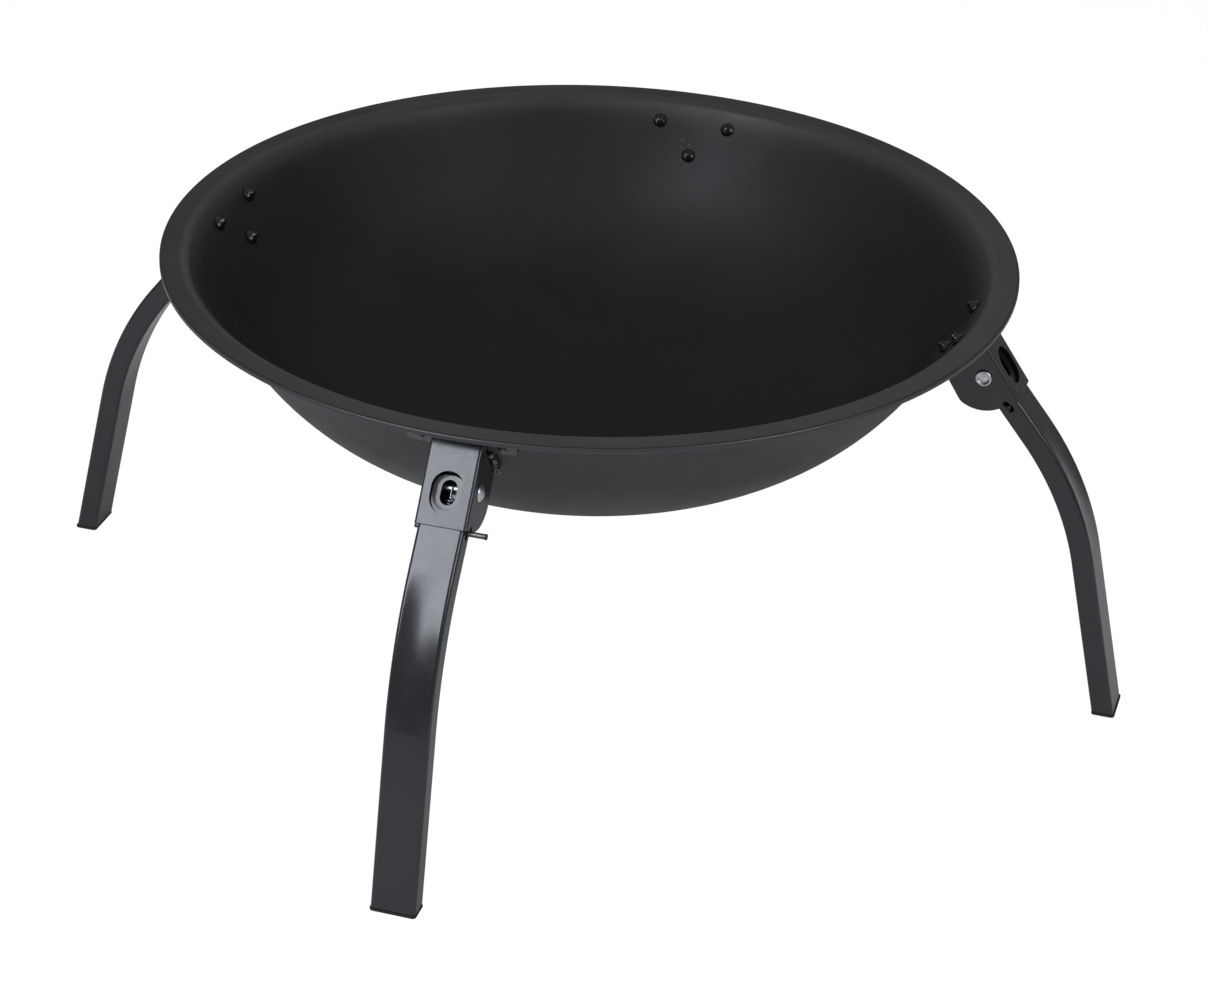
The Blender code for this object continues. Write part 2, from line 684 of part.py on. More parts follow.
def build():
    clear_scene()
    add("bowl", bowl_mesh(), bowl_paint())
    pivot = Matrix.Translation((PIVOT_RADIUS, 0, PIVOT_HEIGHT))
    pin_place = Matrix.Translation(in_leg(TUBE_AXIS_OUT, PIN_DOWN))
    fixed = {
        "mount_plate": (mount_plate_mesh(), bracket_paint(), Matrix()),
        "bracket": (bracket_mesh(), bracket_paint(), pivot),
        "pivot_rivet": (pivot_rivet_mesh(), rivet_zinc(), pivot),
    }
    for number, seat in enumerate(bolt_seats(), 1):
        fixed[f"bolt_{number}"] = (bolt_mesh(), bolt_black(), seat_frame(*seat))
    tube = (leg_tube_mesh(), leg_paint(), pivot)
    on_leg = {
        "foot_plug": (foot_plug_mesh(), plug_plastic(), Matrix()),
        "lock_pin": (lock_pin_mesh(), pin_steel(), pin_place),
        "lock_spring": (lock_spring_mesh(), spring_steel(), Matrix()),
    }
    for station, azimuth in STATIONS.items():
        frame = bpy.data.objects.new("station_" + station, None)
        bpy.context.scene.collection.objects.link(frame)
        frame.rotation_euler = (0, 0, radians(azimuth))
        for kind, (mesh, surface, place) in fixed.items():
            add(f"{kind}_{station}", mesh, surface, frame, place)
        leg = add("leg_tube_" + station, *tube[:2], frame, tube[2])
        for kind, (mesh, surface, place) in on_leg.items():
            add(f"{kind}_{station}", mesh, surface, leg, place)


build()
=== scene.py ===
"""Studio picture of a fire bowl on four folding legs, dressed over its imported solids.

Metres, +Z up, origin on the floor under the bowl's axis. Every leg set is modelled once, for a leg
that points along +X, and copied round the bowl. A bracket, and a leg with its lock, are each drawn
in a frame of their own: the pivot at the origin, +X out of the outer face, +Y to the right as seen
from outside and +Z up the face.
"""

from contextlib import contextmanager
from functools import reduce
from math import acos, asin, atan2, cos, pi, radians, sin, sqrt, tan

import bmesh
import bpy
from mathutils import Matrix, Vector


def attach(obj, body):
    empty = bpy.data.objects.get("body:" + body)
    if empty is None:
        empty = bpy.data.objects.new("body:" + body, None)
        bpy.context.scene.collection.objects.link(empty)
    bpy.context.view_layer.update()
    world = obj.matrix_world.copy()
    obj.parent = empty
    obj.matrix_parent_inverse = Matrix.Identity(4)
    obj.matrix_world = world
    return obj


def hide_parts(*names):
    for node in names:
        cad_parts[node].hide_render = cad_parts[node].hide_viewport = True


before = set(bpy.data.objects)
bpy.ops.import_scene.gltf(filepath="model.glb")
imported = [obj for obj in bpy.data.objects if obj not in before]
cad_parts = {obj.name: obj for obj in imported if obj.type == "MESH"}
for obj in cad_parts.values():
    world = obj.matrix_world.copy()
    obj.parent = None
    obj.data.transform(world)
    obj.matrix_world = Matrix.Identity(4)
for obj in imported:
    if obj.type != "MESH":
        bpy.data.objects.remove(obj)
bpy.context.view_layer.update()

# Bowl
RIM_RADIUS = 0.290
RIM_HEIGHT = 0.2875
SHEET = 0.002
LIP_DROP = 0.0036
LIP_EDGE = 0.0014
LIP_FOOT = 0.0006
RIM_BEND = 0.009
WALL_SLOPE = radians(55.2)
WALL_RADIUS = 0.2486
WALL_RADIUS_AT = 0.250
CROWN_RADIUS = 0.470
KNUCKLE_RADIUS = 0.182
BOTTOM_HEIGHT = 0.1393
BOWL_STEPS = 240
DISH_STEPS = 22
FLANGE_START = 0.2769

# Leg sets
STATIONS = {"front": -90, "right": 0, "back": 90, "left": 180}
PIVOT = Vector((0.2782, 0, 0.2444))
LEAN = pi / 2 - WALL_SLOPE
STEEL = 0.0015
GAP = 0.0003
PLATE_GAP = 0.00045

# How much edges are rounded, and from what angle on they count as edges
SHEET_EDGE = 0.0003
TUBE_EDGE = 0.00025
SOCKET_EDGE = 0.00012
SOFTEN_FROM = radians(40)

# How far cutters reach: past a sheet's face, past the wall's outer face, and to each side of a leg
CUT_SHEET = 0.004
DRILL_REACH = 0.006
CUT_ACROSS = 0.03

# Bracket. Ovals and slots are (width, length); the leg's own lie round the same middle.
FACE_OUT = 0.0132
FACE_TOP = 0.029
FACE_BOTTOM = 0.0253
BRACKET_WIDTH = 0.034
BRACKET_BEND = 0.0022
BRACKET_DEPTH = 0.052
BRACKET_SPARE = 0.010
CAM_RADIUS = 0.0242
CAM_EDGE_ANGLE = radians(58)
CAM_EDGE_OFFSET = 0.0226
CAM_CORNER = 0.010
OVAL = (0.021, 0.027)
OVAL_MIDDLE = (0, -0.0042)

# Mounting plate, and what its rolled sheet has to spare round the T that is cut from it
PLATE_SHEET = 0.003
EAR_REACH = 0.0358
EAR_TOP = 0.281
EAR_BOTTOM = 0.2660
TONGUE_REACH = 0.0195
TONGUE_BOTTOM = 0.2445
PLATE_CORNER = 0.0025
SPARE_BELOW = 0.006
SPARE_ABOVE = 0.003
BLANK_REACH = 0.02

# Leg, to the middle of its tube. Each step of the dimple is (depth, scale of its outline).
TUBE_WIDTH = 0.030
TUBE_DEPTH = 0.015
TUBE_WALL = 0.0012
TUBE_CORNER = 0.0025
TUBE_TOP = 0.0113
TUBE_SPARE = 0.002
LEG_OPENING = radians(4)
LEG_LEAN = LEAN + LEG_OPENING
STOP_OUT = (FACE_OUT - STEEL) * cos(LEG_OPENING) - FACE_BOTTOM * sin(LEG_OPENING)
TUBE_OUT = STOP_OUT - GAP - TUBE_DEPTH / 2
BEND_START = 0.054
BEND_RADIUS = 0.217
BEND_STEPS = 32
BEND_SINK = 0.0012
FACE_CUTS = 11
FOOT_LEAN = radians(12.5)
TUBE_SLOT = (0.010, 0.016)
DIMPLE = (0.0215, 0.0275)
DIMPLE_START = 0.0002
DIMPLE_STEPS = ((0.0003, 0.80), (0.0004, 0.82))
PLUG_PLATE = 0.0018
PLUG_PROUD = 0.0004
PLUG_DEPTH = 0.014
BLOCK_CORNER = 0.001

# Pivot rivet. Its ring has a shallow dish: (how far in from the ring, how far off the seat).
RIVET_SHAFT = 0.0024
RIVET_HEAD = 0.0055
RIVET_DOME = 0.0026
RING_CREST = 0.0016
RING_DISH = ((0.0022, 0.0002), (0.0012, 0.0004))

# Lock pin, whose head is (radius, length), and spring
PIN_RADIUS = 0.00175
PIN_DOWN = sqrt((CAM_RADIUS + PIN_RADIUS + GAP) ** 2 - TUBE_OUT ** 2)
PIN_SEAT = 0.0028
PIN_PULL = 0.0024
PIN_ENDS = (-0.0186, 0.028)
PIN_HEAD = (0.0020, 0.0012)
PIN_EDGE = 0.0003
PIN_DARK_END = 0.0016
WIRE = 0.00052
COIL = 0.0027
PITCH = 0.0019
CURLS = 7
CURL_STEPS = 24
TOP_HOOK = radians(108)
FOOT_HOOK = radians(195)

# Bolts, screwed into the mounting plate; the head is (radius, height), its lower edge (inset,
# height) and the socket (radius, depth)
SHANK = 0.0029
BOLT_CLEAR = 0.00025
BOLT_LENGTH = 0.0040
BOLT_HEAD = (0.00525, 0.0033)
BOLT_DOME = 0.0062
BOLT_DOME_SPAN = (radians(31), radians(62))
BOLT_LAND = 0.0006
BOLT_EDGE = (0.0003, 0.0006)
BOLT_TIP = 0.0004
SOCKET = (0.0023, 0.002)
BOLT_SPREAD = radians(5.75)
BOLT_HEIGHTS = (0.2721, 0.2524)

# Weld beads: height of the lowest blob, step from blob to blob, distance from the bracket's side
# and radius, both with what they waver, and voxels of the joined bead
WELD_FOOT = 0.2472
WELD_STEP = 0.0021
WELD_BLOBS = 10
WELD_OFF = (0.0012, 0.0006)
WELD_SIZE = (0.00125, 0.00045)
WELD_RISE = 0.0005
WELD_VOXEL = 0.00025

# Paint zones of the bowl's top, as radii from the start of the flange, and the last from the rim's:
# where the flange's paint begins, a painted highlight along the inner bend, and a painted shadow
# line along the rim's outer edge
FLANGE_BLEND = (-0.020, -0.004)
BEND_HIGHLIGHT_IN = (-0.015, -0.007)
BEND_HIGHLIGHT_OUT = (-0.003, 0.001)
RIM_EDGE_SHADE = (-0.0024, -0.0012)

# Wiped marks on the bowl's floor: place, turn in degrees, half length and half width. Dust lies by
# the back bolts.
WIPED_MARKS = (
    ((-0.060, 0.050), -43, (0.050, 0.008)),
    ((-0.080, 0.112), -42, (0.026, 0.010)),
    ((-0.058, 0.144), -29, (0.026, 0.010)),
    ((-0.035, 0.145), -63, (0.018, 0.009)),
    ((-0.012, 0.057), -30, (0.036, 0.010)),
    ((0.026, 0.066), -26, (0.034, 0.008)),
    ((0.044, 0.130), -77, (0.022, 0.008)),
)
MARK_HEIGHT = 0.15
DUST_SPOT = (-0.004, 0.2536, 0.261)
DUST_SIZE = (0.009, 0.004, 0.006)

# Floor: size, drop below the feet, greys near and far, and the radii between which it changes; the
# far grey is painted shade, a falloff of the light away from the bowl
FLOOR_SIZE = 14
FLOOR_DROP = 0.0004
FLOOR_POOL_GREYS = (0.60, 0.20)
FLOOR_FALLOFF = (0.7, 1.5)
FLOOR_WHITE = 1.15
WHITE_SEEN = 0.85
WHITE_MIRRORED = 0.12

# Light of the room at the horizon and what it gains higher up, and the softboxes
ROOM_LOW = 0.2
ROOM_GAIN = 0.16
ROOM_HIGH_AT = 0.5
LAMP_DISTANCE = 2.6
LAMP_AIM = Vector((0, 0, 0.2))
LAMP_COLOUR = (0.93, 0.98, 1.08)

# Camera: its angles, its distance and side steps in metres, and its focal length in pixels
CAMERA_AZIMUTH = radians(16.17)
CAMERA_ELEVATION = radians(29.24)
CAMERA_ROLL = radians(1.85)
CAMERA_PLACE = (2.3405, 0.0173, 0.0783)
CAMERA_FOCAL = 3244.66
PICTURE_WIDTH = 1208
SENSOR_WIDTH = 36


# Modelling steps

def only(piece):
    bpy.ops.object.select_all(action="DESELECT")
    piece.select_set(True)
    bpy.context.view_layer.objects.active = piece
    return piece


def added(name):
    """The piece that has just been added, under its name."""
    piece = bpy.context.object
    piece.name = name
    piece.data.name = name
    return piece


@contextmanager
def editing(piece):
    only(piece)
    bpy.ops.object.mode_set(mode="EDIT")
    bpy.ops.mesh.select_mode(type="VERT")
    bpy.ops.mesh.select_all(action="SELECT")
    yield
    bpy.ops.object.mode_set(mode="OBJECT")


def pick(piece, kind, test):
    """In edit mode, select the edges or faces that pass a test on their points."""
    bpy.ops.mesh.select_mode(type=kind)
    bpy.ops.mesh.select_all(action="DESELECT")
    bm = bmesh.from_edit_mesh(piece.data)
    for item in {"EDGE": bm.edges, "FACE": bm.faces}[kind]:
        item.select_set(test([vert.co for vert in item.verts]))
    bmesh.update_edit_mesh(piece.data)


def level(points, axis):
    """Whether points share one coordinate."""
    return max(p[axis] for p in points) - min(p[axis] for p in points) < 1e-6


def settle(piece, place=None):
    """Write a piece's place into its mesh, so that its object sits at the origin."""
    if place is not None:
        piece.matrix_world = place @ piece.matrix_world
    only(piece)
    bpy.ops.object.transform_apply(location=True, rotation=True, scale=True)
    return piece


def modify(piece, kind, **settings):
    only(piece)
    modifier = piece.modifiers.new(kind.lower(), kind)
    for key, value in settings.items():
        setattr(modifier, key, value)
    bpy.ops.object.modifier_apply(modifier=modifier.name)
    return piece


def carve(piece, operation, *tools):
    for tool in tools:
        modify(piece, "BOOLEAN", operation=operation, solver="EXACT", object=tool)
        bpy.data.objects.remove(tool, do_unlink=True)
    return piece


def soften(piece, width, segments=2):
    return modify(piece, "BEVEL", width=width, segments=segments,
                  limit_method="ANGLE", angle_limit=SOFTEN_FROM)


def smooth(piece, angle=SOFTEN_FROM):
    only(piece)
    bpy.ops.object.shade_smooth_by_angle(angle=angle)
    return piece


def smooth_flats(piece):
    """Smooth edges between flat faces that stay flat to look at."""
    return modify(smooth(piece, radians(60)), "WEIGHTED_NORMAL", keep_sharp=True)


def draw(name, points, fill=False):
    """A line of vertices, extruded from point to point, filled as one face if asked."""
    points = [Vector(point) for point in points]
    bpy.ops.object.select_all(action="DESELECT")
    bpy.ops.mesh.primitive_plane_add(size=0.001, location=points[0])
    piece = added(name)
    with editing(piece):
        bpy.ops.mesh.merge(type="CENTER")
        for start, end in zip(points, points[1:]):
            bpy.ops.mesh.extrude_region_move(TRANSFORM_OT_translate={"value": end - start})
        bpy.ops.mesh.select_all(action="SELECT")
        if fill:
            bpy.ops.mesh.edge_face_add()
    return settle(piece)


def slab(name, outline, run):
    """A drawn face, extruded along a run."""
    piece = draw(name, outline, fill=True)
    with editing(piece):
        bpy.ops.mesh.extrude_region_move(TRANSFORM_OT_translate={"value": run})
        bpy.ops.mesh.select_all(action="SELECT")
        bpy.ops.mesh.normals_make_consistent(inside=False)
    return piece


def turned(name, profile, steps):
    """A drawn line of (radius, height) points, spun about Z."""
    piece = draw(name, [(radius, 0, height) for radius, height in profile])
    with editing(piece):
        bpy.ops.mesh.spin(steps=steps, angle=2 * pi, center=(0, 0, 0), axis=(0, 0, 1))
        bpy.ops.mesh.select_all(action="SELECT")
        bpy.ops.mesh.remove_doubles(threshold=1e-6)
        bpy.ops.mesh.normals_make_consistent(inside=False)
    return piece


def rod(name, radius, start, end, sides=48):
    """A round bar from start to end."""
    start = Vector(start)
    run = Vector(end) - start
    bpy.ops.object.select_all(action="DESELECT")
    turn = run.to_track_quat("Z", "Y").to_euler()
    bpy.ops.mesh.primitive_cylinder_add(
        vertices=sides, radius=radius, depth=run.length, location=start + run / 2, rotation=turn)
    return settle(added(name))


def rounded_plate(name, depth, width, corner, place):
    """A flat rectangle with round corners, facing up."""
    bpy.ops.object.select_all(action="DESELECT")
    bpy.ops.mesh.primitive_plane_add(size=1)
    plate = added(name)
    plate.scale = (depth, width, 1)
    settle(plate)
    with editing(plate):
        bpy.ops.mesh.bevel(offset=corner, segments=8, affect="VERTICES")
    plate.location = place
    return settle(plate)


def arc(centre, radius, start, end, steps):
    """Points of an arc in a plane, both ends included."""
    angles = [start + (end - start) * i / steps for i in range(steps + 1)]
    return [(centre[0] + radius * cos(a), centre[1] + radius * sin(a)) for a in angles]


def slot_outline(size, middle):
    """Outline of a slot with round ends that runs along the second axis."""
    width, length = size
    radius = width / 2
    half = length / 2 - radius
    x, y = middle
    top = arc((x, y + half), radius, 0, pi, 16)
    return top + arc((x, y - half), radius, pi, 2 * pi, 16)


def cut_through_face(name, face, outline):
    """Cutter with an outline in (across, up), through a sheet whose face lies this far out."""
    return slab(name, [(face - CUT_SHEET, y, z) for y, z in outline], (2 * CUT_SHEET, 0, 0))


def cut_across(name, outline):
    """Cutter with an outline in (out, up) that reaches right across a leg."""
    return slab(name, [(out, -CUT_ACROSS, up) for out, up in outline], (0, 2 * CUT_ACROSS, 0))


def rivet_drill():
    return rod("drill", RIVET_SHAFT + GAP, (0, -CUT_ACROSS, 0), (0, CUT_ACROSS, 0))


def copied(piece, name, place):
    """A copy with its own mesh, put in place."""
    twin = piece.copy()
    twin.data = piece.data.copy()
    twin.name = name
    twin.data.name = name
    bpy.context.scene.collection.objects.link(twin)
    return settle(twin, place)


def station_turn(station):
    return Matrix.Rotation(radians(STATIONS[station]), 4, "Z")


# Frames of the bracket and of the leg that points along +X
BRACKET_FRAME = Matrix.Translation(PIVOT) @ Matrix.Rotation(-LEAN, 4, "Y")
LEG_FRAME = Matrix.Translation(PIVOT) @ Matrix.Rotation(-LEG_LEAN, 4, "Y")


def leg_to_bracket(out, up):
    """Place in the bracket's frame of a point of the leg's frame."""
    point = Matrix.Rotation(-LEG_OPENING, 3, "Y") @ Vector((out, 0, up))
    return (point.x, point.z)


# Bowl

def wall_radius(height):
    """Radius of the wall's outer face on its conical stretch."""
    return WALL_RADIUS + (height - WALL_RADIUS_AT) / tan(WALL_SLOPE)


def on_wall(angle, height, depth=0.0):
    """Point off the wall's outer face, by depth along its outward normal."""
    radius = wall_radius(height) + depth * sin(WALL_SLOPE)
    return Vector((radius * cos(angle), radius * sin(angle), height - depth * cos(WALL_SLOPE)))


def dish(inset):
    """Crown, knuckle and start of the cone, from the axis outward."""
    up_wall = Vector((cos(WALL_SLOPE), sin(WALL_SLOPE)))
    inward = Vector((-sin(WALL_SLOPE), cos(WALL_SLOPE)))
    crown = Vector((0, BOTTOM_HEIGHT + CROWN_RADIUS))
    start = Vector((WALL_RADIUS, WALL_RADIUS_AT)) + inward * KNUCKLE_RADIUS
    offset = start - crown
    along = offset.dot(up_wall)
    rest = offset.length_squared - (CROWN_RADIUS - KNUCKLE_RADIUS) ** 2
    knuckle = start - up_wall * (along + sqrt(along ** 2 - rest))
    meet = atan2(knuckle.x - crown.x, crown.y - knuckle.y)
    low = -pi / 2
    floor = arc(crown, CROWN_RADIUS - inset, low, low + meet, DISH_STEPS)
    floor[0] = (0.0, floor[0][1])
    rise = arc(knuckle, KNUCKLE_RADIUS - inset, low + meet, low + WALL_SLOPE, DISH_STEPS)
    return floor + rise[1:]


def bowl_profile():
    """Up the inside, over the rim, round the lip and down the outside."""
    centre_height = RIM_HEIGHT - RIM_BEND
    centre = (wall_radius(centre_height) + (RIM_BEND - SHEET) / sin(WALL_SLOPE), centre_height)
    wall_side = pi / 2 + WALL_SLOPE
    over = arc(centre, RIM_BEND, wall_side, pi / 2, 10)
    under = arc(centre, RIM_BEND - SHEET, pi / 2, wall_side, 8)
    edge = (RIM_RADIUS - LIP_EDGE, RIM_HEIGHT - LIP_EDGE)
    foot = (RIM_RADIUS - LIP_FOOT, RIM_HEIGHT - LIP_DROP + LIP_FOOT)
    inner_foot = (RIM_RADIUS - SHEET + LIP_FOOT, foot[1])
    lip = arc(edge, LIP_EDGE, pi / 2, 0, 8) + arc(foot, LIP_FOOT, 0, -pi / 2, 5)
    lip += arc(inner_foot, LIP_FOOT, -pi / 2, -pi, 5) + [(RIM_RADIUS - SHEET, RIM_HEIGHT - SHEET)]
    return dish(SHEET) + over + lip + under + dish(0)[::-1]


def bolt_seats():
    upper, lower = BOLT_HEIGHTS
    return ((-BOLT_SPREAD, upper), (BOLT_SPREAD, upper), (0.0, lower))


def seat_frame(angle, height):
    """Frame on the wall's outer face whose +Z points through the wall into the bowl."""
    inward = Vector((-sin(WALL_SLOPE) * cos(angle), -sin(WALL_SLOPE) * sin(angle), cos(WALL_SLOPE)))
    across = Vector((-sin(angle), cos(angle), 0))
    turn = Matrix((across.cross(inward), across, inward)).transposed().to_4x4()
    return Matrix.Translation(on_wall(angle, height)) @ turn


def bolt_drills(*turns):
    """Drills for the clearance holes through the wall and the mounting plate."""
    drills = []
    reach = Vector((0, 0, DRILL_REACH))
    for place in [turn @ seat_frame(*seat) for turn in turns for seat in bolt_seats()]:
        drills.append(rod("drill", SHANK + BOLT_CLEAR, place @ -reach, place @ reach, 24))
    return drills


def model_bowl():
    bowl = turned("fire_bowl", bowl_profile(), BOWL_STEPS)
    carve(bowl, "DIFFERENCE", *bolt_drills(*[station_turn(name) for name in STATIONS]))
    return smooth(bowl)


# Mounting plate, cut as a T from a sheet rolled to the wall

def plate_outline():
    corner = PLATE_CORNER
    right = arc((EAR_REACH - corner, EAR_TOP - corner), corner, pi / 2, 0, 5)
    right += arc((EAR_REACH - corner, EAR_BOTTOM + corner), corner, 0, -pi / 2, 5)
    right += [(TONGUE_REACH, EAR_BOTTOM)]
    right += arc((TONGUE_REACH - corner, TONGUE_BOTTOM + corner), corner, 0, -pi / 2, 5)
    return right + [(-side, height) for side, height in reversed(right)]


def model_mount_plate():
    low, high = TONGUE_BOTTOM - SPARE_BELOW, EAR_TOP + SPARE_ABOVE
    inner, outer = PLATE_GAP, PLATE_GAP + PLATE_SHEET
    corners = ((low, inner), (high, inner), (high, outer), (low, outer), (low, inner))
    loop = [on_wall(0, height, depth) for height, depth in corners]
    rolled = turned("mount_plate", [(point.x, point.z) for point in loop], BOWL_STEPS)
    near = on_wall(0, WALL_RADIUS_AT, -BLANK_REACH)
    along_wall = Vector((cos(WALL_SLOPE), 0, sin(WALL_SLOPE)))
    outline = []
    for side, height in plate_outline():
        up_wall = (height - WALL_RADIUS_AT) / sin(WALL_SLOPE)
        outline.append(near + along_wall * up_wall + Vector((0, side, 0)))
    run = 2 * BLANK_REACH
    blank = slab("blank", outline, (run * sin(WALL_SLOPE), 0, -run * cos(WALL_SLOPE)))
    carve(rolled, "INTERSECT", blank)
    carve(rolled, "DIFFERENCE", *bolt_drills(Matrix()))
    return smooth_flats(soften(rolled, SHEET_EDGE))


# Bracket

def crossing(first, first_run, second, second_run):
    """Where two lines of a plane meet."""
    determinant = first_run.x * second_run.y - first_run.y * second_run.x
    offset = second - first
    return first + first_run * ((offset.x * second_run.y - offset.y * second_run.x) / determinant)


def side_outline():
    """Outline of the bracket's side plates, as (out, up): notch, cam and its rounded corner."""
    mouth = PIN_RADIUS + GAP
    seat = leg_to_bracket(TUBE_OUT, PIN_SEAT - PIN_DOWN)
    drawn = leg_to_bracket(TUBE_OUT, -PIN_DOWN)
    notch = arc(seat, mouth, 0, pi, 14)
    cam_start = -pi / 2 + asin((seat[0] - mouth) / CAM_RADIUS)
    edge_normal = -(pi / 2 + LEAN + CAM_EDGE_ANGLE)
    inset, reach = CAM_EDGE_OFFSET - CAM_CORNER, CAM_RADIUS - CAM_CORNER
    turn = acos(inset / reach)
    cam = arc((0, 0), CAM_RADIUS, cam_start, edge_normal + turn, 36)
    corner = (reach * cos(edge_normal + turn), reach * sin(edge_normal + turn))
    cam += arc(corner, CAM_CORNER, edge_normal + turn, edge_normal, 6)[1:]
    foot = Vector((cos(edge_normal), sin(edge_normal))) * CAM_EDGE_OFFSET
    edge_run = Vector((-sin(edge_normal), cos(edge_normal)))
    to_bracket = BRACKET_FRAME.inverted()
    behind = PLATE_GAP + PLATE_SHEET + GAP
    ends = [to_bracket @ on_wall(0, height, behind) for height in (TONGUE_BOTTOM, EAR_TOP)]
    low, high = [Vector((end.x, end.z)) for end in ends]
    lower_end = crossing(foot, edge_run, low, high - low)
    upper_end = crossing(Vector((0, FACE_TOP)), Vector((1, 0)), low, high - low)
    front = FACE_OUT + STEEL
    face = [(front, FACE_TOP), (front, -FACE_BOTTOM), (drawn[0] + mouth, -FACE_BOTTOM)]
    return face + notch + cam + [tuple(lower_end), tuple(upper_end)]


def model_bracket():
    """Channel folded from one sheet, trimmed to its side outline and pierced."""
    bpy.ops.object.select_all(action="DESELECT")
    size = (BRACKET_DEPTH, BRACKET_WIDTH, 2 * FACE_TOP + BRACKET_SPARE)
    middle = (FACE_OUT - BRACKET_DEPTH / 2, 0, 0)
    bpy.ops.mesh.primitive_cube_add(size=1, location=middle, scale=size)
    bracket = settle(added("bracket"))
    with editing(bracket):
        pick(bracket, "FACE", lambda points: level(points, 2) or level(points, 0) and points[0].x < 0)
        bpy.ops.mesh.delete(type="FACE")
        pick(bracket, "EDGE", lambda points: level(points, 0) and level(points, 1) and points[0].x > 0)
        bpy.ops.mesh.bevel(offset=BRACKET_BEND, segments=8, affect="EDGES")
    modify(bracket, "SOLIDIFY", thickness=STEEL, offset=-1, use_even_offset=True)
    carve(bracket, "INTERSECT", cut_across("blank", side_outline()))
    oval = cut_through_face("oval", FACE_OUT, slot_outline(OVAL, OVAL_MIDDLE))
    carve(bracket, "DIFFERENCE", oval, rivet_drill())
    return smooth_flats(soften(bracket, SHEET_EDGE))


# Leg

def sink_bend(leg, centre, turn):
    """Press in the outer wall of the bend, where stretching has drawn it hollow."""
    flat = TUBE_WIDTH / 2 - TUBE_CORNER
    for vert in leg.data.vertices:
        spoke = Vector((vert.co.x - centre.x, 0, vert.co.z - centre.z))
        angle = atan2(-spoke.z, spoke.x)
        on_outer_wall = spoke.length > BEND_RADIUS + TUBE_DEPTH / 2 - 1e-5 and abs(vert.co.y) < flat
        if on_outer_wall and 0 < angle < turn:
            depth = BEND_SINK * sin(pi * angle / turn) ** 0.7 * (1 - (vert.co.y / flat) ** 2)
            vert.co -= spoke.normalized() * depth


def dimple_cutter(face):
    """Shallow oval dish that is pressed in round the slot in the tube's outer face."""
    outline = [(face + DIMPLE_START, y, z) for y, z in slot_outline(DIMPLE, OVAL_MIDDLE)]
    cutter = slab("dimple", outline, (-DIMPLE_START, 0, 0))
    low = face
    for drop, shrink in DIMPLE_STEPS:
        with editing(cutter):
            pick(cutter, "FACE", lambda points: level(points, 0) and abs(points[0].x - low) < 1e-6)
            bpy.ops.mesh.extrude_region_move(TRANSFORM_OT_translate={"value": (-drop, 0, 0)})
            middle = (low - drop, *OVAL_MIDDLE)
            bpy.ops.transform.resize(value=(1, shrink, shrink), center_override=middle)
        low -= drop
    return cutter


def model_leg_tube():
    """Section swept down, round its bend and down to the foot, then given its wall and holes."""
    top = TUBE_TOP + TUBE_SPARE
    leg = rounded_plate("leg_tube", TUBE_DEPTH, TUBE_WIDTH, TUBE_CORNER, (TUBE_OUT, 0, top))
    bend_centre = Vector((TUBE_OUT - BEND_RADIUS, 0, -BEND_START))
    turn = LEG_LEAN - FOOT_LEAN
    run = Matrix.Rotation(turn, 3, "Y") @ Vector((0, 0, -PIVOT.z))
    down = (0, 0, -top - BEND_START)
    to_leg = LEG_FRAME.inverted()
    floor = to_leg @ Vector((PIVOT.x, 0, PLUG_PLATE + GAP))
    floor_normal = to_leg.to_3x3() @ Vector((0, 0, -1))
    with editing(leg):
        bpy.ops.mesh.delete(type="ONLY_FACE")
        pick(leg, "EDGE", lambda points: level(points, 0) and points[0].x > TUBE_OUT)
        bpy.ops.mesh.subdivide(number_cuts=FACE_CUTS)
        bpy.ops.mesh.select_all(action="SELECT")
        bpy.ops.mesh.extrude_region_move(TRANSFORM_OT_translate={"value": down})
        bpy.ops.mesh.spin(steps=BEND_STEPS, angle=-turn, center=bend_centre, axis=(0, 1, 0))
        bpy.ops.mesh.extrude_region_move(TRANSFORM_OT_translate={"value": run})
        bpy.ops.mesh.select_all(action="SELECT")
        bpy.ops.mesh.bisect(plane_co=floor, plane_no=floor_normal, clear_outer=True)
        bpy.ops.mesh.select_all(action="SELECT")
        bpy.ops.mesh.normals_make_consistent(inside=False)
    sink_bend(leg, bend_centre, turn)
    modify(leg, "SOLIDIFY", thickness=TUBE_WALL, offset=-1, use_even_offset=True)
    far = CUT_ACROSS
    over = [(-far, 0), (-far, far), (far, far), (far, 0)]
    waste = cut_across("waste", arc((0, 0), TUBE_TOP, 0, pi, 30) + over)
    face = TUBE_OUT + TUBE_DEPTH / 2
    oval = cut_through_face("oval", face, slot_outline(TUBE_SLOT, OVAL_MIDDLE))
    width = 2 * (PIN_RADIUS + GAP)
    length = width + PIN_SEAT + PIN_PULL + 2 * GAP
    middle = -(PIN_DOWN + (PIN_PULL - PIN_SEAT) / 2)
    pin_slot = cut_across("slot", slot_outline((width, length), (TUBE_OUT, middle)))
    carve(leg, "DIFFERENCE", dimple_cutter(face), waste, oval, pin_slot, rivet_drill())
    return smooth_flats(soften(leg, TUBE_EDGE))


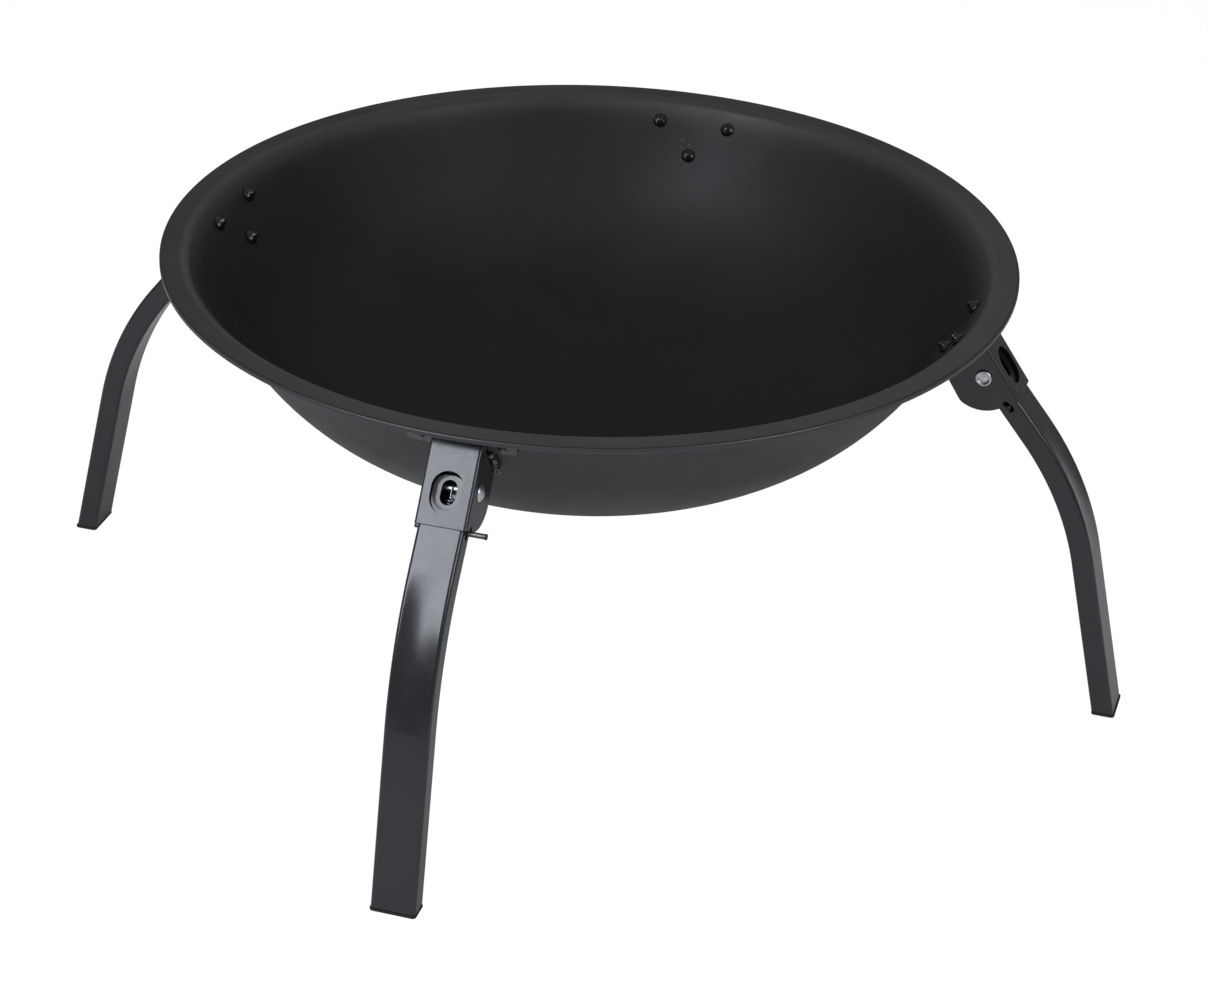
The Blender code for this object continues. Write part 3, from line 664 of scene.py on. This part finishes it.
def model_foot_plug():
    """Floor plate cut level, with the block that fills the tube's end."""
    stretch = 1 / cos(FOOT_LEAN)
    to_leg = Matrix.Rotation(LEG_LEAN - FOOT_LEAN, 3, "Y")
    bend_centre = Vector((TUBE_OUT - BEND_RADIUS, 0, -BEND_START))
    bend_end = LEG_FRAME @ (bend_centre + to_leg @ Vector((BEND_RADIUS, 0, 0)))
    foot = bend_end.x + bend_end.z * tan(FOOT_LEAN)
    proud = 2 * PLUG_PROUD
    depth, width = (TUBE_DEPTH + proud) * stretch, TUBE_WIDTH + proud
    plug = rounded_plate("foot_plug", depth, width, TUBE_CORNER, (foot, 0, 0))
    with editing(plug):
        bpy.ops.mesh.extrude_region_move(TRANSFORM_OT_translate={"value": (0, 0, PLUG_PLATE)})
        bpy.ops.mesh.select_all(action="SELECT")
        bpy.ops.mesh.normals_make_consistent(inside=False)
    room = 2 * (TUBE_WALL + GAP)
    low = PLUG_PLATE / 2
    place = (foot - low * tan(FOOT_LEAN), 0, low)
    depth, width = (TUBE_DEPTH - room) * stretch, TUBE_WIDTH - room
    block = rounded_plate("block", depth, width, BLOCK_CORNER, place)
    rise = PLUG_DEPTH * Vector((-tan(FOOT_LEAN), 0, 1))
    with editing(block):
        bpy.ops.mesh.extrude_region_move(TRANSFORM_OT_translate={"value": rise})
        bpy.ops.mesh.select_all(action="SELECT")
        bpy.ops.mesh.normals_make_consistent(inside=False)
    return smooth_flats(soften(carve(plug, "UNION", block), SHEET_EDGE))


# Rivet, pin and spring

def laid_across(piece):
    """Lay a turned piece across the leg, its +Z to the right."""
    return smooth(settle(piece, Matrix.Rotation(-pi / 2, 4, "X")), radians(35))


def model_pivot_rivet():
    """Dome on the right, and on the left a rolled ring round a shallow dish."""
    seat = BRACKET_WIDTH / 2 + GAP
    curve = (RIVET_HEAD ** 2 + RIVET_DOME ** 2) / (2 * RIVET_DOME)
    reach = asin(RIVET_HEAD / curve)
    dome = arc((0, seat + RIVET_DOME - curve), curve, pi / 2 - reach, pi / 2, 12)
    roll = RING_CREST / 2
    ring_at = RIVET_HEAD - roll
    ring = arc((ring_at, -seat - roll), roll, pi, 2 * pi + pi / 3, 14)
    profile = [(ring_at - inward, -seat - off) for inward, off in RING_DISH]
    profile = [(0.0, profile[0][1])] + profile + ring
    profile += [(RIVET_HEAD - roll / 2, -seat), (RIVET_SHAFT, -seat), (RIVET_SHAFT, seat)]
    profile += dome[:-1] + [(0.0, seat + RIVET_DOME)]
    return laid_across(turned("pivot_rivet", profile, 48))


def model_lock_pin():
    """Round pin with a small head at its right end."""
    low, high = PIN_ENDS
    head, thick = PIN_HEAD
    bright_start = low + PIN_DARK_END
    neck = high - thick
    profile = [(0.0, low), (PIN_RADIUS - PIN_EDGE, low), (PIN_RADIUS, low + PIN_EDGE)]
    profile += [(PIN_RADIUS, bright_start), (PIN_RADIUS, neck)]
    profile += [(head - PIN_EDGE / 2, neck), (head, neck + PIN_EDGE / 2), (head, high - PIN_EDGE)]
    profile += [(head - PIN_EDGE, high), (0.0, high)]
    pin = laid_across(turned("lock_pin", profile, 40))
    dress(pin, plain_metal_finish("dull_pin_steel", (0.20, 0.195, 0.17), 0.36), pin_end_finish())
    for face in pin.data.polygons:
        face.material_index = 0 if bright_start < face.center.y < neck - PIN_EDGE else 1
    return pin


def model_lock_spring():
    """Wire hooked over the rivet, wound down the leg and hooked under the pin."""
    foot = Vector((TUBE_OUT, -PIN_DOWN))
    run = foot.normalized()
    side = Vector((-run.y, run.x))
    top_hook = RIVET_SHAFT + WIRE + 1.5 * GAP
    foot_hook = PIN_RADIUS + WIRE + 1.5 * GAP
    start = top_hook + (foot.length - CURLS * PITCH - top_hook - foot_hook) / 2
    path = []
    for i in range(9):
        angle = TOP_HOOK * (1 - i / 8)
        path.append((side * (top_hook * cos(angle)) - run * (top_hook * sin(angle)), 0.0))
    for i in range(CURLS * CURL_STEPS + 1):
        turn = 2 * pi * i / CURL_STEPS
        spot = run * (start + PITCH * i / CURL_STEPS) + side * (COIL * cos(turn))
        path.append((spot, COIL * sin(turn)))
    for i in range(17):
        angle = FOOT_HOOK * i / 16
        path.append((foot + side * (foot_hook * cos(angle)) + run * (foot_hook * sin(angle)), 0.0))
    spring = draw("lock_spring", [(spot.x, y, spot.y) for spot, y in path])
    only(spring)
    bpy.ops.object.convert(target="CURVE")
    spring.data.bevel_depth = WIRE
    spring.data.bevel_resolution = 3
    spring.data.use_fill_caps = True
    bpy.ops.object.convert(target="MESH")
    return smooth(bpy.context.object, radians(60))


# Bolts

def model_bolt():
    """Button-head bolt, its head inside the bowl at +Z."""
    radius, height = BOLT_HEAD
    socket, depth = SOCKET
    inset, rise = BOLT_EDGE
    low = SHEET + GAP
    top = low + height
    dome = arc((0, top - BOLT_DOME), BOLT_DOME, *BOLT_DOME_SPAN, 8)
    head = [(0.0, top), (socket + BOLT_LAND, top)] + dome[::-1]
    head += [(radius, low + rise), (radius - inset, low)]
    shank = [(SHANK, low), (SHANK, BOLT_TIP - BOLT_LENGTH), (SHANK - BOLT_TIP, -BOLT_LENGTH)]
    bolt = turned("bolt", head + shank + [(0.0, -BOLT_LENGTH)], 48)
    bpy.ops.object.select_all(action="DESELECT")
    bpy.ops.mesh.primitive_cylinder_add(
        vertices=6, radius=socket, depth=2 * depth, location=(0, 0, top))
    carve(bolt, "DIFFERENCE", settle(added("socket")))
    return smooth(soften(bolt, SOCKET_EDGE, 1), radians(45))


# Weld beads in the corners between a bracket's sides and its mounting plate

def model_weld():
    """Blobs of weld metal, joined and smoothed into uneven beads."""
    blobs = []
    off, sway = WELD_OFF
    middling, swell = WELD_SIZE
    depth = PLATE_GAP + PLATE_SHEET + WELD_RISE
    for side in (-1, 1):
        for i in range(WELD_BLOBS):
            height = WELD_FOOT + WELD_STEP * i
            reach = BRACKET_WIDTH / 2 + off + sway * sin(5.1 * i + side)
            spot = on_wall(side * reach / wall_radius(height), height, depth)
            size = middling + swell * sin(2.3 * i + 2 * side)
            bpy.ops.object.select_all(action="DESELECT")
            bpy.ops.mesh.primitive_ico_sphere_add(subdivisions=3, radius=size, location=spot)
            blobs.append(settle(added("weld")))
    bpy.ops.object.select_all(action="DESELECT")
    for blob in blobs:
        blob.select_set(True)
    bpy.context.view_layer.objects.active = blobs[0]
    bpy.ops.object.join()
    weld = blobs[0]
    modify(weld, "REMESH", mode="VOXEL", voxel_size=WELD_VOXEL)
    modify(weld, "SMOOTH", factor=0.5, iterations=1)
    return smooth(weld, pi)


# Finishes

class Wire:
    """Socket in a node tree, on which sums write Math nodes."""

    def __init__(self, nodes, socket):
        self.nodes = nodes
        self.socket = socket

    def sum(self, operation, *values):
        return self.nodes.node("ShaderNodeMath", {"operation": operation}, dict(enumerate(values)))

    def __add__(self, other):
        return self.sum("ADD", self, other)

    def __sub__(self, other):
        return self.sum("SUBTRACT", self, other)

    def __rsub__(self, other):
        return self.sum("SUBTRACT", other, self)

    def __mul__(self, other):
        return self.sum("MULTIPLY", self, other)

    def most(self, other):
        return self.sum("MAXIMUM", self, other)

    __radd__ = __add__
    __rmul__ = __mul__


class Nodes:
    """Node tree, patterned on one kind of coordinates."""

    def __init__(self, tree, coordinates):
        self.tree = tree
        self.place = self.node("ShaderNodeTexCoord", output=coordinates)

    def node(self, kind, settings=(), values=(), output=0):
        """Add a node: its settings first, then the values or wires of its sockets."""
        node = self.tree.nodes.new(kind)
        for key, value in dict(settings).items():
            setattr(node, key, value)
        for key, value in dict(values).items():
            self.feed(node.inputs[key], value)
        return Wire(self, node.outputs[output])

    def feed(self, socket, value):
        if isinstance(value, Wire):
            self.tree.links.new(value.socket, socket)
        else:
            socket.default_value = value

    def ray(self, kind):
        """1 on rays of one kind."""
        return self.node("ShaderNodeLightPath", output=kind)

    def noise(self, scale, detail=2.0, roughness=0.5):
        values = {"Vector": self.place, "Scale": scale, "Detail": detail, "Roughness": roughness}
        return self.node("ShaderNodeTexNoise", {}, values)

    def band(self, value, low, high, start=0.0, end=1.0):
        """Value carried smoothly from start to end as it goes from low to high."""
        values = {0: value, 1: low, 2: high, 3: start, 4: end}
        return self.node("ShaderNodeMapRange", {"interpolation_type": "SMOOTHSTEP"}, values)

    def mix(self, factor, first, second):
        """Two colours mixed, through the colour sockets of a Mix node: 6 and 7 in, 2 out."""
        values = {0: factor, 6: first, 7: second}
        return self.node("ShaderNodeMix", {"data_type": "RGBA"}, values, 2)

    def vector(self, operation, *values, output=0):
        settings = {"operation": operation}
        return self.node("ShaderNodeVectorMath", settings, dict(enumerate(values)), output)

    def length(self, vector):
        return self.vector("LENGTH", vector, output="Value")

    def from_axis(self):
        """Distance from the bowl's axis."""
        return self.length(self.vector("MULTIPLY", self.place, (1, 1, 0)))

    def along(self, direction, low, high):
        """How far a point lies along a direction, carried from 0 to 1."""
        way = self.vector("DOT_PRODUCT", self.place, direction, output="Value")
        return self.band(way, low, high)

    def specks(self, scale, size):
        """Small round dots, scattered at random."""
        values = {"Vector": self.place, "Scale": scale}
        near = self.node("ShaderNodeTexVoronoi", {}, values, "Distance")
        return self.band(near, 0.0, size, 1.0, 0.0)

    def stroke(self, spot, turn, size):
        """Soft ellipse on a level plan, 1 in its middle: a wiped or greasy mark."""
        values = {"Vector": self.place, "Location": spot, "Rotation": (0, 0, turn), "Scale": size}
        local = self.node("ShaderNodeMapping", {"vector_type": "TEXTURE"}, values)
        return self.band(self.length(local), 0.35, 1.0, 1.0, 0.0)


class Finish(Nodes):
    """Material with one Principled shader, patterned on Object coordinates."""

    def __init__(self, name, constants):
        self.material = bpy.data.materials.new(name)
        self.material.use_nodes = True
        super().__init__(self.material.node_tree, "Object")
        self.shader = self.tree.nodes["Principled BSDF"]
        for key, value in constants.items():
            self.shader.inputs[key].default_value = value

    def shade(self, name, value):
        self.feed(self.shader.inputs[name], value)

    def bump(self, height, strength, distance):
        values = {"Height": height, "Strength": strength, "Distance": distance}
        self.shade("Normal", self.node("ShaderNodeBump", {}, values))


def grey(value, warm=0.0):
    return (value * (1 + warm), value, value * (1 - warm), 1)


def bowl_top_finish():
    """Heat-proof black paint: matt and clouded inside, rubbed warmer and smoother on the flange.

    Wiped marks lie on the bowl's floor, and a little dust by the back bolts. A painted highlight
    runs along the inner bend, a painted shadow line along the rim's outer edge, and the flange is
    painted lighter towards the front right, a painted sheen.
    """
    finish = Finish("bowl_top_paint", {"Specular IOR Level": 0.33})
    from_flange = finish.from_axis() - FLANGE_START
    flange = finish.band(from_flange, *FLANGE_BLEND)
    # Painted highlight: a lighter band round the rim's inner bend, where it catches the light
    bend = finish.band(from_flange, *BEND_HIGHLIGHT_IN) - finish.band(from_flange, *BEND_HIGHLIGHT_OUT)
    # Painted shadow line: a dark band along the rim's outer edge
    edge = finish.band(finish.from_axis() - RIM_RADIUS, *RIM_EDGE_SHADE)
    cloud = finish.noise(11, 4, 0.6)
    patch = finish.band(cloud, 0.35, 0.68)
    inside = finish.mix(patch, grey(0.0030, -0.02), grey(0.0060, -0.03))
    strokes = []
    for spot, turn, size in WIPED_MARKS:
        strokes.append(finish.stroke((*spot, MARK_HEIGHT), radians(turn), (*size, 1.0)))
    marks = reduce(Wire.most, strokes)
    inside = finish.mix(marks * 0.6, inside, grey(0.0012))
    dust = finish.specks(420, 0.35) * finish.stroke(DUST_SPOT, 0, DUST_SIZE)
    inside = finish.mix(dust * 0.6, inside, grey(0.16))
    inside = finish.mix(finish.specks(38, 0.045) * 0.35, inside, grey(0.08))
    rubbed = finish.band(finish.noise(26, 4, 0.6), 0.35, 0.68)
    rim = finish.mix(rubbed, grey(0.010, 0.12), grey(0.018, 0.14))
    # Painted sheen: the flange is painted lighter towards the front right
    rim = finish.mix(finish.along((0.7, -0.7, 0), -0.15, 0.28), rim, grey(0.034, 0.12))
    # The inner bend's painted highlight
    rim = finish.mix(bend, rim, grey(0.036, 0.04))
    # The painted shadow line of the rim's outer edge
    rim = finish.mix(edge * 0.7, rim, grey(0.008))
    finish.shade("Base Color", finish.mix(flange, inside, rim))
    matt = finish.band(cloud, 0.3, 0.7, 0.48, 0.60) + marks * -0.06
    finish.shade("Roughness", matt + flange * (rubbed * 0.08 - 0.16))
    finish.bump(finish.noise(900, 2) + finish.noise(140, 3) * 0.6, 0.22, 0.0002)
    return finish.material


def bowl_outside_finish():
    finish = Finish("bowl_outside_paint", {"Specular IOR Level": 0.63})
    cloud = finish.noise(14, 4, 0.6)
    # The lip is painted lighter than the wall, a painted reflection of the floor
    lip = finish.band(finish.from_axis(), RIM_RADIUS - 0.004, RIM_RADIUS - 0.002)
    wall = finish.mix(finish.band(cloud, 0.35, 0.68), grey(0.010, -0.02), grey(0.015, -0.03))
    # Lip in its painted-reflection grey
    finish.shade("Base Color", finish.mix(lip, wall, grey(0.035, -0.05)))
    finish.shade("Roughness", finish.band(cloud, 0.3, 0.7, 0.44, 0.56) - lip * 0.14)
    finish.bump(finish.noise(900, 2) + finish.noise(140, 3) * 0.5, 0.2, 0.0002)
    return finish.material


def coated_steel_finish(name, colour, shade):
    """Satin grey coating with fine mottling, on brackets, plates and legs."""
    finish = Finish(name, {"Specular IOR Level": 0.72})
    cloud = finish.noise(60, 4, 0.6)
    fine = finish.noise(420, 3, 0.6)
    mottle = finish.band(cloud * 0.6 + fine * 0.4, 0.36, 0.64)
    dark = tuple(v * (1 - shade) for v in colour)
    finish.shade("Base Color", finish.mix(mottle, (*dark, 1), (*colour, 1)))
    finish.shade("Roughness", finish.band(cloud * 0.5 + fine * 0.5, 0.35, 0.65, 0.17, 0.23))
    finish.bump(fine + finish.noise(1300, 2) * 0.5, 0.08, 0.0002)
    return finish.material


def plain_metal_finish(name, colour, roughness, metallic=1.0):
    """Plated or bare metal with fine clouding."""
    finish = Finish(name, {"Metallic": metallic})
    cloud = finish.noise(300, 3, 0.6)
    dull = tuple(v * 0.72 for v in colour)
    finish.shade("Base Color", finish.mix(finish.band(cloud, 0.35, 0.7), (*colour, 1), (*dull, 1)))
    finish.shade("Roughness", finish.band(cloud, 0.3, 0.7, roughness - 0.05, roughness + 0.08))
    finish.bump(cloud, 0.15, 0.0001)
    return finish.material


def pin_end_finish():
    return plain_metal_finish("dark_pin_ends", (0.014, 0.014, 0.013), 0.35, 0.0)


def weld_finish():
    """Black paint over the beads, chipped through to pale metal in spots."""
    finish = Finish("weld_metal", {"Specular IOR Level": 0.6})
    chips = finish.band(finish.noise(330, 3, 0.6), 0.50, 0.58)
    finish.shade("Base Color", finish.mix(chips, grey(0.008), grey(0.22)))
    finish.shade("Roughness", finish.band(chips, 0.0, 1.0, 0.26, 0.5))
    finish.bump(finish.noise(900, 2), 0.3, 0.0002)
    return finish.material


def plug_finish():
    finish = Finish("plug_plastic", {"Specular IOR Level": 0.4})
    grain = finish.noise(900, 2)
    finish.shade("Base Color", finish.mix(grain, grey(0.009), grey(0.014)))
    finish.shade("Roughness", finish.band(grain, 0.3, 0.7, 0.5, 0.62))
    finish.bump(grain, 0.3, 0.0002)
    return finish.material


def dress(piece, *materials):
    piece.data.materials.clear()
    for material in materials:
        piece.data.materials.append(material)
    return piece


def paint_bowl(bowl):
    """One paint on the inside and the flange, the other on the lip and the outside."""
    dress(bowl, bowl_top_finish(), bowl_outside_finish())
    for face in bowl.data.polygons:
        outward = face.normal.x * face.center.x + face.normal.y * face.center.y
        on_top = face.normal.z > 0.75 or face.normal.z > 0.05 and outward < 0
        face.material_index = 0 if on_top else 1


# Building

def set_round(piece, name, body, places, in_cad=True):
    """Copy a finished piece to each place, in place of its CAD nodes if it has them."""
    for key, place in places.items():
        twin = copied(piece, f"{name}_{key}_piece", place)
        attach(twin, body.format(key))
        if in_cad:
            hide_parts(f"{name}_{key}")
    bpy.data.objects.remove(piece, do_unlink=True)


def build():
    bowl = model_bowl()
    paint_bowl(bowl)
    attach(bowl, "bowl")
    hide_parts("bowl")
    turns = {name: station_turn(name) for name in STATIONS}
    brackets = {name: turn @ BRACKET_FRAME for name, turn in turns.items()}
    legs = {name: turn @ LEG_FRAME for name, turn in turns.items()}
    bracket_coat = coated_steel_finish("bracket_coat", (0.0135, 0.0145, 0.0175), 0.18)
    leg_coat = coated_steel_finish("leg_coat", (0.0130, 0.0145, 0.0170), 0.15)
    zinc = plain_metal_finish("bright_zinc_plate", (0.80, 0.81, 0.82), 0.34)
    spring_wire = plain_metal_finish("spring_wire", (0.46, 0.47, 0.48), 0.34)
    bolt_black = plain_metal_finish("black_bolt_oxide", (0.006, 0.006, 0.007), 0.17, 0.0)
    plate = dress(model_mount_plate(), bracket_coat)
    set_round(plate, "mount_plate", "bowl", turns)
    bracket = dress(model_bracket(), bracket_coat)
    set_round(bracket, "bracket", "bowl", brackets)
    set_round(dress(model_pivot_rivet(), zinc), "pivot_rivet", "bowl", brackets)
    weld = dress(model_weld(), weld_finish())
    set_round(weld, "weld", "bowl", turns, in_cad=False)
    bolt = dress(model_bolt(), bolt_black)
    for number, seat in enumerate(bolt_seats(), 1):
        seats = {name: turn @ seat_frame(*seat) for name, turn in turns.items()}
        set_round(copied(bolt, "bolt", Matrix()), f"bolt_{number}", "bowl", seats)
    bpy.data.objects.remove(bolt, do_unlink=True)
    set_round(dress(model_leg_tube(), leg_coat), "leg_tube", "leg_{}", legs)
    plug = dress(model_foot_plug(), plug_finish())
    set_round(plug, "foot_plug", "leg_{}", turns)
    spring = dress(model_lock_spring(), spring_wire)
    set_round(spring, "lock_spring", "leg_{}", legs)
    to_pin = Matrix.Translation((TUBE_OUT, 0, -PIN_DOWN))
    pins = {name: leg @ to_pin for name, leg in legs.items()}
    set_round(model_lock_pin(), "lock_pin", "pin_{}", pins)


# Floor, light and camera

def add_floor():
    """Pale floor, white to the camera and in reflections, that keeps the bowl's soft shadow."""
    bpy.ops.object.select_all(action="DESELECT")
    bpy.ops.mesh.primitive_plane_add(size=FLOOR_SIZE, location=(0, 0, -FLOOR_DROP))
    floor = settle(added("floor"))
    finish = Finish("pale_floor", {"Roughness": 0.9, "Specular IOR Level": 0.0})
    # Painted shade: the floor's grey falls away from the bowl, a painted falloff of the light
    far = finish.band(finish.from_axis(), *FLOOR_FALLOFF)
    near_grey, far_grey = FLOOR_POOL_GREYS
    finish.shade("Base Color", finish.mix(far, grey(near_grey), grey(far_grey)))
    mirrored = finish.ray("Is Glossy Ray") + finish.ray("Is Transmission Ray")
    seen = finish.ray("Is Camera Ray") * WHITE_SEEN + mirrored * WHITE_MIRRORED
    white = finish.node("ShaderNodeEmission", {}, {"Color": (1, 1, 1, 1), "Strength": FLOOR_WHITE})
    shader = Wire(finish, finish.shader.outputs[0])
    both = finish.node("ShaderNodeMixShader", {}, {0: seen, 1: shader, 2: white})
    finish.tree.links.new(both.socket, finish.tree.nodes["Material Output"].inputs["Surface"])
    dress(floor, finish.material)


def add_softbox(name, direction, size, power):
    """Rectangular lamp, seen from the bowl in a direction."""
    lamp = bpy.data.lights.new(name, "AREA")
    lamp.shape = "RECTANGLE"
    lamp.size, lamp.size_y = size
    lamp.energy = power
    lamp.color = LAMP_COLOUR
    holder = bpy.data.objects.new(name, lamp)
    bpy.context.scene.collection.objects.link(holder)
    direction = Vector(direction).normalized()
    holder.location = LAMP_AIM + direction * LAMP_DISTANCE
    holder.rotation_euler = direction.to_track_quat("Z", "Y").to_euler()


def add_light():
    """Two softboxes, and a dim room that is white where the camera looks past the floor."""
    world = bpy.data.worlds.new("studio")
    bpy.context.scene.world = world
    world.use_nodes = True
    sky = Nodes(world.node_tree, "Generated")
    room = sky.along((0, 0, 1), 0.0, ROOM_HIGH_AT) * ROOM_GAIN + ROOM_LOW
    seen = sky.ray("Is Camera Ray")
    background = sky.tree.nodes["Background"].inputs
    sky.feed(background["Color"], (1, 1, 1, 1))
    sky.feed(background["Strength"], room + seen * (1 - room))
    add_softbox("key_softbox", (-0.386, -0.711, 0.588), (1.15, 1.7), 34)
    add_softbox("side_strip", (0.79, -0.36, 0.50), (0.8, 1.3), 17)


def add_camera():
    """Camera at the photo's angle; it stands back, then steps right and up in the picture."""
    level_back = Vector((sin(CAMERA_AZIMUTH), -cos(CAMERA_AZIMUTH), 0))
    back = level_back * cos(CAMERA_ELEVATION) + Vector((0, 0, sin(CAMERA_ELEVATION)))
    right = Vector((cos(CAMERA_AZIMUTH), sin(CAMERA_AZIMUTH), 0))
    up = back.cross(right)
    image_right = right * cos(CAMERA_ROLL) + up * sin(CAMERA_ROLL)
    image_up = up * cos(CAMERA_ROLL) - right * sin(CAMERA_ROLL)
    distance, step_right, step_up = CAMERA_PLACE
    camera = bpy.data.cameras.new("camera")
    camera.sensor_width = SENSOR_WIDTH
    camera.lens = CAMERA_FOCAL / PICTURE_WIDTH * SENSOR_WIDTH
    holder = bpy.data.objects.new("camera", camera)
    bpy.context.scene.collection.objects.link(holder)
    holder.matrix_world = Matrix((image_right, image_up, back)).transposed().to_4x4()
    holder.location = back * distance + image_right * step_right + image_up * step_up
    bpy.context.scene.camera = holder


build()
add_floor()
add_light()
add_camera()
bpy.context.scene.view_settings.view_transform = "Standard"
